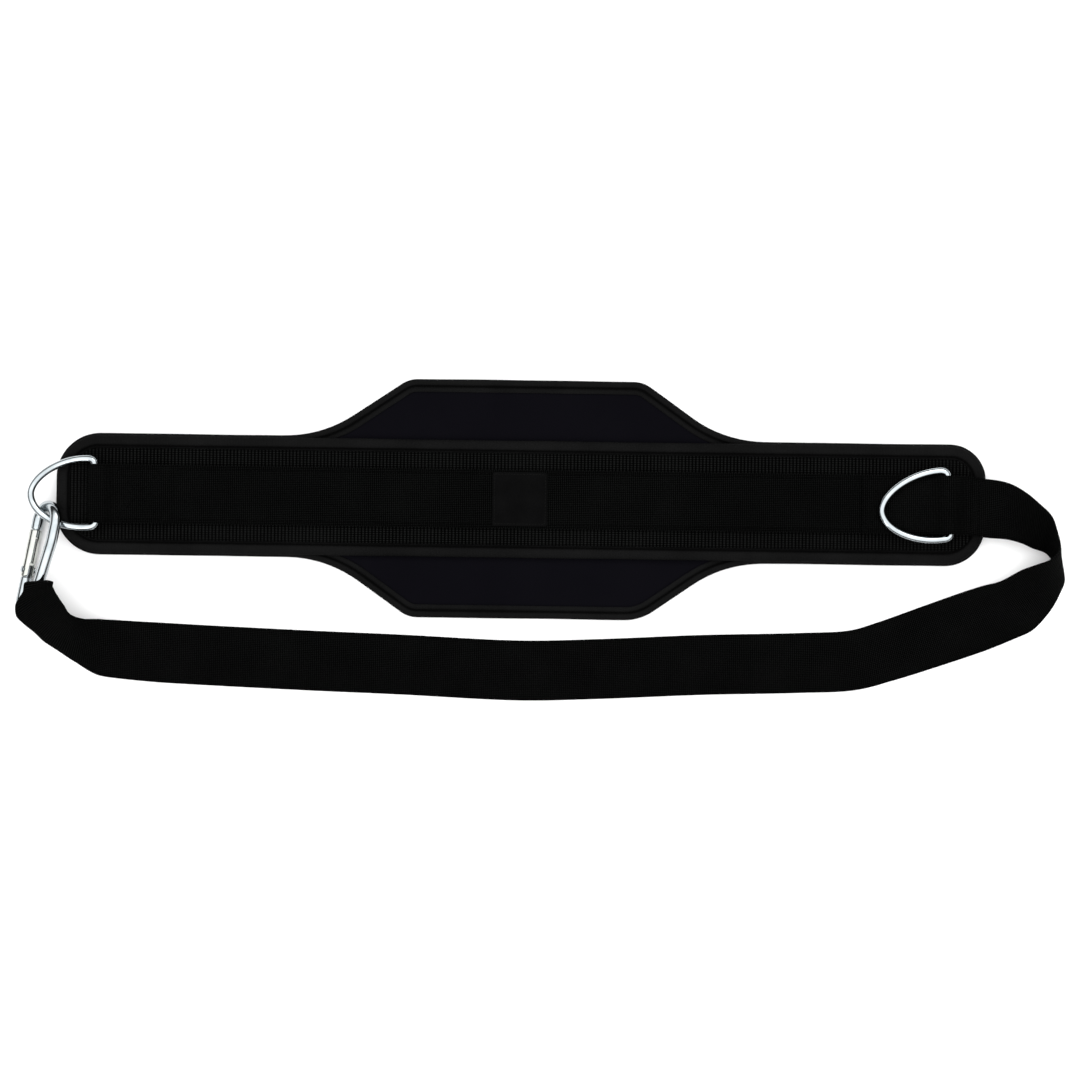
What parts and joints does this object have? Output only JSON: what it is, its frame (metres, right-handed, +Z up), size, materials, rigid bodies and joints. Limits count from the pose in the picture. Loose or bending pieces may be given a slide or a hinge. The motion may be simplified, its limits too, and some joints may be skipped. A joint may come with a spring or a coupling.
{
  "type": "dip belt",
  "caption": "Padded back belt with two lobes, a D-ring at each end and a webbing load strap clipped on by a spring-gate carabiner.",
  "frame": {"origin": "middle of the back pad's underside, on the surface the belt lies on", "axes": "+X along the belt to the end where the load strap is sewn on, +Y to the belt's upper edge, +Z up from the surface"},
  "size_m": [0.8799, 0.2681, 0.046],
  "materials": {
    "pad_cloth": "smooth knitted face over foam, blue-black",
    "binding_cloth": "folded edge tape, matt black",
    "webbing": "ribbed nylon webbing, black",
    "label_cloth": "satin woven label, black",
    "zinc_wire": "bright zinc plated steel"
  },
  "bodies": {
    "belt": {"back_pad": "pad_cloth", "back_pad_binding": "binding_cloth", "belt_pad": "pad_cloth", "belt_pad_binding": "binding_cloth", "wide_webbing": "webbing", "belt_strap": "webbing", "label_patch": "label_cloth", "left_d_ring": "zinc_wire", "carabiner_body": "zinc_wire", "gate_rivet": "zinc_wire", "load_strap": "webbing"},
    "gate": {"carabiner_gate": "zinc_wire"},
    "right_ring": {"right_d_ring": "zinc_wire"}
  },
  "joints": [
    {"name": "gate_hinge", "type": "hinge", "parent": "belt", "child": "gate", "pos_m": [-0.41163, -0.06469, 0.00642], "axis": [0.7522, -0.1449, -0.6428], "range_deg": [0, 24], "stiffness_Nm_per_rad": 0.02},
    {"name": "right_ring_hinge", "type": "hinge", "parent": "belt", "child": "right_ring", "pos_m": [0.357, 0.0003, 0.0247], "axis": [-0.061, 0.9981, 0], "range_deg": [0, 150]}
  ]
}
